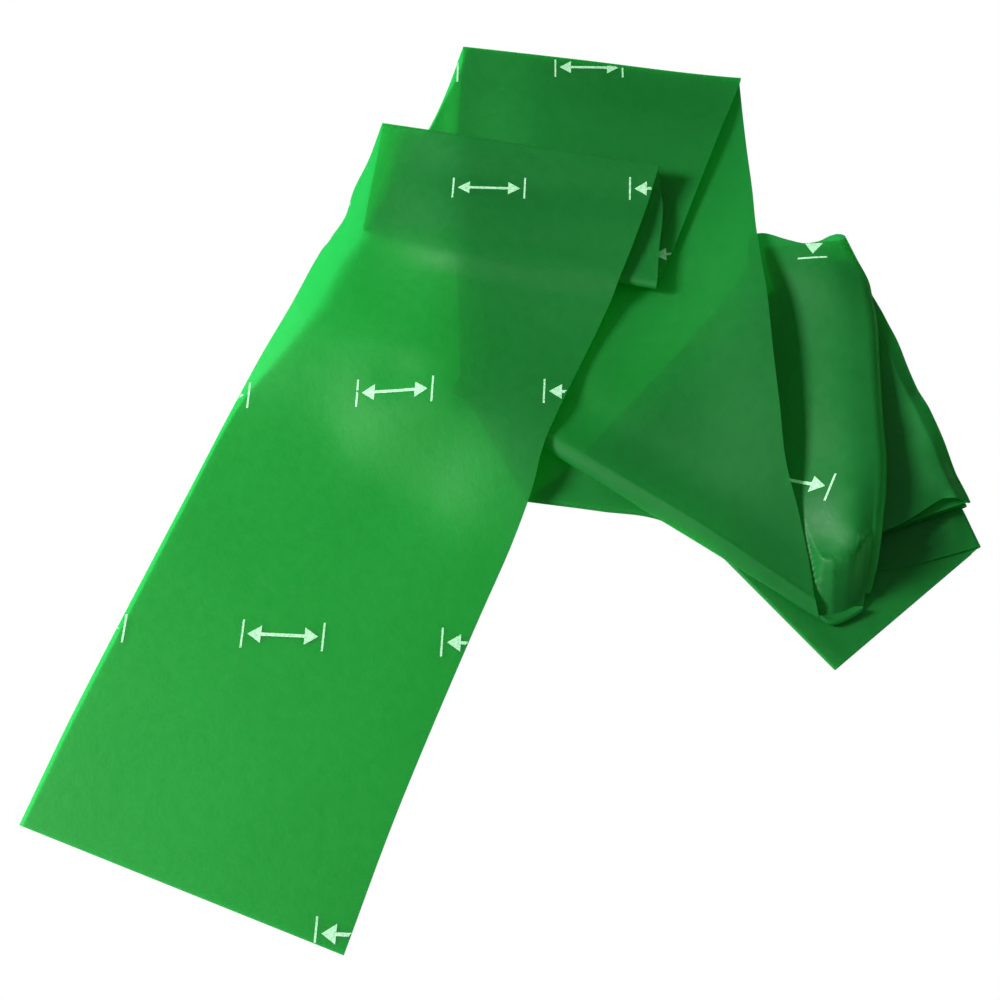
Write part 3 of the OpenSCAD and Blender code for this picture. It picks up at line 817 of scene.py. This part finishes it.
def latex_material():
    material, tree = new_material("latex_green")
    link = tree.links.new
    output = add_node(tree, "ShaderNodeOutputMaterial")
    coords = add_node(tree, "ShaderNodeTexCoord")
    broad = add_node(tree, "ShaderNodeTexNoise", {"Scale": 9.0, "Detail": 3.0})
    fine = add_node(tree, "ShaderNodeTexNoise",
                    {"Scale": 170.0, "Detail": 4.0, "Roughness": 0.6})
    grain = add_node(tree, "ShaderNodeTexNoise", {"Scale": 1500.0, "Detail": 3.0})
    for noise in (broad, fine, grain):
        link(coords.outputs["Object"], noise.inputs["Vector"])

    ramp = add_ramp(tree, [(0.30, LATEX_DARK), (0.72, LATEX_LIGHT)])
    clouds = add_node(tree, "ShaderNodeMath", {1: BROAD_SHARE}, operation="MULTIPLY_ADD")
    link(broad.outputs["Fac"], clouds.inputs[0])
    fine_part = add_node(tree, "ShaderNodeMath", {1: FINE_SHARE}, operation="MULTIPLY")
    link(fine.outputs["Fac"], fine_part.inputs[0])
    link(fine_part.outputs[0], clouds.inputs[2])
    link(clouds.outputs[0], ramp.inputs["Fac"])

    surface = add_node(tree, "ShaderNodeBsdfPrincipled",
                       {"Specular IOR Level": 0.85, "IOR": 1.52})
    link(ramp.outputs["Color"], surface.inputs["Base Color"])
    roughness = add_node(tree, "ShaderNodeMapRange", {
        "From Min": 0.3, "From Max": 0.7,
        "To Min": ROUGHNESS - 0.05, "To Max": ROUGHNESS + 0.06})
    link(fine.outputs["Fac"], roughness.inputs["Value"])
    link(roughness.outputs[0], surface.inputs["Roughness"])
    grain_bump = add_node(tree, "ShaderNodeBump", {"Strength": 0.10, "Distance": 0.0004})
    fine_bump = add_node(tree, "ShaderNodeBump", {"Strength": 0.12, "Distance": 0.0015})
    link(grain.outputs["Fac"], grain_bump.inputs["Height"])
    link(fine.outputs["Fac"], fine_bump.inputs["Height"])
    link(fine_bump.outputs["Normal"], grain_bump.inputs["Normal"])
    link(grain_bump.outputs["Normal"], surface.inputs["Normal"])

    glow = add_node(tree, "ShaderNodeBsdfTranslucent", {"Color": (*LATEX_GLOW, 1)})
    clear = add_node(tree, "ShaderNodeBsdfTransparent", {"Color": (*LATEX_CLEAR, 1)})
    through = add_node(tree, "ShaderNodeMixShader", {"Fac": CLEAR_SHARE})
    light_path = add_node(tree, "ShaderNodeLightPath")
    tint = add_node(tree, "ShaderNodeMix", data_type="RGBA")
    tint_a, tint_b = [socket for socket in tint.inputs if socket.type == "RGBA"]
    tint_a.default_value = (*LATEX_CLEAR, 1)
    tint_b.default_value = (*[c * SHADOW_DIM for c in LATEX_CLEAR], 1)
    tint_result = next(socket for socket in tint.outputs if socket.type == "RGBA")
    link(light_path.outputs["Is Shadow Ray"], tint.inputs["Factor"])
    link(tint_result, clear.inputs["Color"])
    link(glow.outputs[0], through.inputs[1])
    link(clear.outputs[0], through.inputs[2])
    whole = add_node(tree, "ShaderNodeMixShader", {"Fac": THROUGH_SHARE})
    link(surface.outputs[0], whole.inputs[1])
    link(through.outputs[0], whole.inputs[2])
    link(whole.outputs[0], output.inputs["Surface"])
    return material


def ink_material():
    material, tree = new_material("ink_pale")
    link = tree.links.new
    output = add_node(tree, "ShaderNodeOutputMaterial")
    coords = add_node(tree, "ShaderNodeTexCoord")
    speckle = add_node(tree, "ShaderNodeTexNoise", {"Scale": 900.0, "Detail": 4.0})
    link(coords.outputs["Object"], speckle.inputs["Vector"])
    ramp = add_ramp(tree, [(0.28, srgb((112, 198, 130))), (0.6, srgb((182, 232, 192)))])
    link(speckle.outputs["Fac"], ramp.inputs["Fac"])
    surface = add_node(tree, "ShaderNodeBsdfPrincipled", {"Roughness": 0.6})
    link(ramp.outputs["Color"], surface.inputs["Base Color"])
    bump = add_node(tree, "ShaderNodeBump", {"Strength": 0.15, "Distance": 0.0003})
    link(speckle.outputs["Fac"], bump.inputs["Height"])
    link(bump.outputs["Normal"], surface.inputs["Normal"])
    link(surface.outputs[0], output.inputs["Surface"])
    return material


LATEX, INK = latex_material(), ink_material()


# ---------------------------------------------------------------- pieces on their bodies
def riding(body):
    return lambda ob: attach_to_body(ob, body)


def bending():
    return lambda ob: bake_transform(ob)


def flap_bend():
    """Bakes the piece's placement into its mesh; sets up no bend."""
    return bending()


def fold_bend(span):
    """Works out a crease and a direction across it from the fold's end rows, uses neither, and
    bakes the piece's placement into its mesh; sets up no bend.
    """
    high, low = sorted((strip[row] for row in span), key=lambda p: p[:, 2].mean(),
                       reverse=True)
    crease = high[-1] - high[0]
    crease = crease / np.linalg.norm(crease)
    across = (high - low).mean(0)
    across = across - crease * (across @ crease)     # free of the slope along the crease
    across /= np.linalg.norm(across)
    return bending()


def add_sheet(name, span, attach, replaced):
    ob = sheet_object(name, *span)
    ob.data.materials.append(LATEX)
    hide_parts(*replaced)
    attach(ob)
    return ob


end_bend = flap_bend()
root_bend = flap_bend()
sheets = {
    "flap_outer": add_sheet("flap_outer", spans["flap_outer"], end_bend,
                            ("free_end", "flap_end_bend")),
    "flap_inner": add_sheet("flap_inner", spans["flap_inner"], root_bend,
                            ("flap_middle", "flap_root_bend", "flap_root")),
}
# (piece, body or lower body, upper body of a fold or None, CAD nodes replaced)
PIECES = [
    ("fold_1", "upper_return", "flap_root", ("fold_loop_1",)),
    ("upper_return", "upper_return", None, ("upper_return",)),
    ("fold_2", "upper_run", "upper_return", ("fold_loop_2",)),
    ("upper_run", "upper_run", None, ("upper_run",)),
    ("fold_3", "wide_run", "upper_run", ("fold_loop_3",)),
    ("wide_run", "wide_run", None, ("wide_run",)),
    ("front_roll", "loose_run", "wide_run", ("front_roll",)),
    ("loose_run", "loose_run", None, ("front_pleat", "pleat_roll", "loose_run", "side_roll",
                                      "pleat_return", "side_inner_roll", "side_run")),
    ("fold_5", "inner_run_4", "loose_run", ("fold_loop_5",)),
    ("inner_run_4", "inner_run_4", None, ("inner_run_4",)),
    ("fold_6", "inner_run_3", "inner_run_4", ("fold_loop_6",)),
    ("inner_run_3", "inner_run_3", None, ("inner_run_3",)),
    ("fold_7", "inner_run_2", "inner_run_3", ("fold_loop_7",)),
    ("inner_run_2", "inner_run_2", None, ("inner_run_2",)),
    ("fold_8", "inner_run_1", "inner_run_2", ("fold_loop_8",)),
    ("inner_run_1", "inner_run_1", None, ("inner_run_1",)),
    ("fold_9", "lower_end", "inner_run_1", ("fold_loop_9",)),
    ("lower_end", "lower_end", None, ("lower_end",)),
    ("end_return", "lower_end", None, ("fold_loop_10", "end_return")),
]
for name, body, upper_body, replaced in PIECES:
    attach = fold_bend(spans[name]) if upper_body else riding(body)
    sheets[name] = add_sheet(name + "_sheet", spans[name], attach, replaced)

# ---------------------------------------------------------------- printed marks
MARK_LENGTH, MARK_HEIGHT = 38.0, 14.0
STROKE = 0.95
HEAD_LENGTH, HEAD_HALF = 6.2, 4.3        # arrow heads
HEAD_SLICES, HEAD_STRIPS = 9, 6          # cells along a head, and on each side of its axis
CELL = 0.8                               # largest cell of a bar or shaft
MARK_LEAD, MARK_COLUMN = 28.8, 86.5      # step from mark to mark, along and across the band
INK_THICKNESS, INK_LIFT = 0.06, 0.03


def rectangle_cells(x0, y0, x1, y1):
    xs = np.linspace(x0, x1, max(1, int(math.ceil((x1 - x0) / CELL))) + 1)
    ys = np.linspace(y0, y1, max(1, int(math.ceil((y1 - y0) / CELL))) + 1)
    return [[(xa, ya), (xb, ya), (xb, yb), (xa, yb)]
            for xa, xb in zip(xs[:-1], xs[1:]) for ya, yb in zip(ys[:-1], ys[1:])]


def mark_cells():
    """Small quads of one mark in its own axes: a double arrow between two bars."""
    length, height = MARK_LENGTH / 2, MARK_HEIGHT / 2
    tip = length - 3 * STROKE
    neck = tip - HEAD_LENGTH
    cells = rectangle_cells(length - STROKE, -height, length, height)
    cells += rectangle_cells(-length, -height, -length + STROKE, height)
    cells += rectangle_cells(-neck, -STROKE * 0.85, neck, STROKE * 0.85)
    n, m = HEAD_SLICES, HEAD_STRIPS
    for side in (1, -1):
        for i in range(n):
            x0, x1 = neck + HEAD_LENGTH * i / n, neck + HEAD_LENGTH * (i + 1) / n
            y0, y1 = HEAD_HALF * (1 - i / n), HEAD_HALF * (1 - (i + 1) / n)
            for j in range(-m, m):
                quad = [(x0, y0 * j / m), (x1, y1 * j / m),
                        (x1, y1 * (j + 1) / m), (x0, y0 * (j + 1) / m)]
                cells.append(quad if side > 0 else [(-x, y) for x, y in quad[::-1]])
    return cells


CELLS = mark_cells()


def print_marks(name, sheet, centres, angle, attach, replaced=(), min_x=-999.0):
    """Drops marks on the top of a sheet; cells off it or left of min_x are left out."""
    tree = BVHTree.FromPolygons([v.co[:] for v in sheet.data.vertices],
                                [p.vertices[:] for p in sheet.data.polygons])
    cos, sin = heading(angle)
    points, faces, found = [], [], {}

    def point_index(x, y):
        key = (round(x, 4), round(y, 4))
        if key not in found:
            above = Vector(((x + ORIGIN[0]) * MM, (y + ORIGIN[1]) * MM, 0.2))
            place, normal, _, _ = tree.ray_cast(above, Vector((0, 0, -1)))
            if place is None or abs(normal.z) < 0.15 or x < min_x:
                found[key] = None
            else:
                found[key] = len(points)
                points.append(place + normal * (INK_LIFT * MM))
        return found[key]

    for centre_x, centre_y in centres:
        for quad in CELLS:
            face = []
            for x, y in quad:
                face.append(point_index(centre_x + x * cos - y * sin,
                                        centre_y + x * sin + y * cos))
                if face[-1] is None:
                    break
            if face[-1] is not None and len(set(face)) > 2:
                faces.append(list(dict.fromkeys(face)))
    if not faces:            # no mark landed on the sheet
        return
    mesh = bpy.data.meshes.new(name)
    mesh.from_pydata([p[:] for p in points], [], faces)
    mesh.validate()
    mesh.update()
    ink = link_object(name, mesh)
    # thin closed skin of ink
    skin = ink.modifiers.new("ink", "SOLIDIFY")
    skin.thickness = INK_THICKNESS * MM
    skin.offset = 1.0
    evaluated = ink.evaluated_get(bpy.context.evaluated_depsgraph_get())
    solid = bpy.data.meshes.new_from_object(evaluated)
    ink.modifiers.clear()
    ink.data = solid
    ink.data.materials.clear()
    ink.data.materials.append(INK)
    if replaced:
        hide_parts(*replaced)
    attach(ink)


def mark_grid(start, angle, distances, across):
    """Three marks per distance along a run, each column leading the one before."""
    return [start + heading(angle) * (distance + MARK_LEAD * j)
            + right_of(angle) * (across + MARK_COLUMN * j)
            for distance in distances for j in (-1, 0, 1)]


flap_marks = mark_grid(FLAP_CORNER, FLAP_ANGLE, (-21.6, 118.4, 251.2, 378.0), 69)
flap_mark_angle = FLAP_ANGLE - 90 + math.degrees(math.atan(MARK_LEAD / MARK_COLUMN))
print_marks("print_outer", sheets["flap_outer"], flap_marks, flap_mark_angle, end_bend,
            replaced=("print_free_end",))
print_marks("print_inner", sheets["flap_inner"], flap_marks, flap_mark_angle, root_bend,
            replaced=("print_flap_middle", "print_flap_root"))
print_marks("print_upper", sheets["upper_run"],
            mark_grid(np.array([49.1, 614.4]), UPPER_ANGLE, (0, -140), 0),
            UPPER_ANGLE - 90 + 18.4, riding("upper_run"), replaced=("print_upper_run",))
print_marks("print_loose", sheets["loose_run"], [(136.2, 351.3)], -25.0,
            riding("loose_run"), replaced=("print_loose_run",), min_x=134.0)
print_marks("print_loose_far", sheets["loose_run"], [(160.0, 492.0)], 80.0,
            riding("loose_run"))


# ---------------------------------------------------------------- stage
def floor_material():
    """White diffuse; glows pure white where the camera sees it with no sheet in between."""
    material, tree = new_material("floor_white")
    link = tree.links.new
    output = add_node(tree, "ShaderNodeOutputMaterial")
    diffuse = add_node(tree, "ShaderNodeBsdfDiffuse", {"Color": (0.92, 0.92, 0.92, 1)})
    glow = add_node(tree, "ShaderNodeEmission")
    light_path = add_node(tree, "ShaderNodeLightPath")
    mix = add_node(tree, "ShaderNodeMixShader")
    uncovered = add_node(tree, "ShaderNodeMath", {1: 0.5}, operation="LESS_THAN")
    seen = add_node(tree, "ShaderNodeMath", operation="MULTIPLY")
    link(light_path.outputs["Transparent Depth"], uncovered.inputs[0])
    link(uncovered.outputs[0], seen.inputs[0])
    link(light_path.outputs["Is Camera Ray"], seen.inputs[1])
    link(seen.outputs[0], mix.inputs["Fac"])
    link(diffuse.outputs[0], mix.inputs[1])
    link(glow.outputs[0], mix.inputs[2])
    link(mix.outputs[0], output.inputs["Surface"])
    return material


def add_floor(half=6.0, z=-0.0002):
    mesh = bpy.data.meshes.new("floor")
    corners = [(-half, -half, z), (half, -half, z), (half, half, z), (-half, half, z)]
    mesh.from_pydata(corners, [], [(0, 1, 2, 3)])
    floor = link_object("floor", mesh)
    mesh.materials.append(floor_material())


def add_world(strength, glossy_strength):
    """White surroundings, dimmer in reflections."""
    world = bpy.data.worlds.new("world")
    bpy.context.scene.world = world
    world.use_nodes = True
    tree = world.node_tree
    background = tree.nodes["Background"]
    background.inputs["Color"].default_value = (1, 1, 1, 1)
    light_path = add_node(tree, "ShaderNodeLightPath")
    choose = add_node(tree, "ShaderNodeMapRange",
                      {"To Min": strength, "To Max": glossy_strength})
    tree.links.new(light_path.outputs["Is Glossy Ray"], choose.inputs["Value"])
    tree.links.new(choose.outputs[0], background.inputs["Strength"])


def add_area_light(name, location, target, size, power):
    light = bpy.data.lights.new(name, "AREA")
    light.energy = power
    light.size = size
    ob = link_object(name, light)
    ob.location = location
    aim = Vector(target) - Vector(location)
    ob.rotation_euler = aim.to_track_quat("-Z", "Y").to_euler()


def add_camera(lens, down_angle):
    camera = bpy.data.cameras.new("cam")
    ob = link_object("cam", camera)
    camera.sensor_width = 36.0
    camera.lens = lens
    camera.clip_start = 0.01
    ob.location = (ORIGIN[0] * MM, ORIGIN[1] * MM, CAMERA_HEIGHT * MM)
    ob.rotation_euler = (math.radians(90 - down_angle), 0, 0)
    bpy.context.scene.camera = ob


add_floor()
add_world(strength=0.17, glossy_strength=0.10)
add_area_light("key", location=(-1.22, 0.04, 0.80), target=(-0.02, 0, 0), size=0.40, power=40)
add_area_light("overhead", location=(-0.1, -0.1, 1.6), target=(0, 0, 0), size=1.2, power=1.5)
add_camera(lens=56.51136, down_angle=62.3036)

scene = bpy.context.scene
scene.view_settings.view_transform = "Standard"
scene.cycles.diffuse_bounces = 12
scene.cycles.transmission_bounces = 12
scene.cycles.max_bounces = 16
scene.cycles.transparent_max_bounces = 48    # light passes many stacked sheets
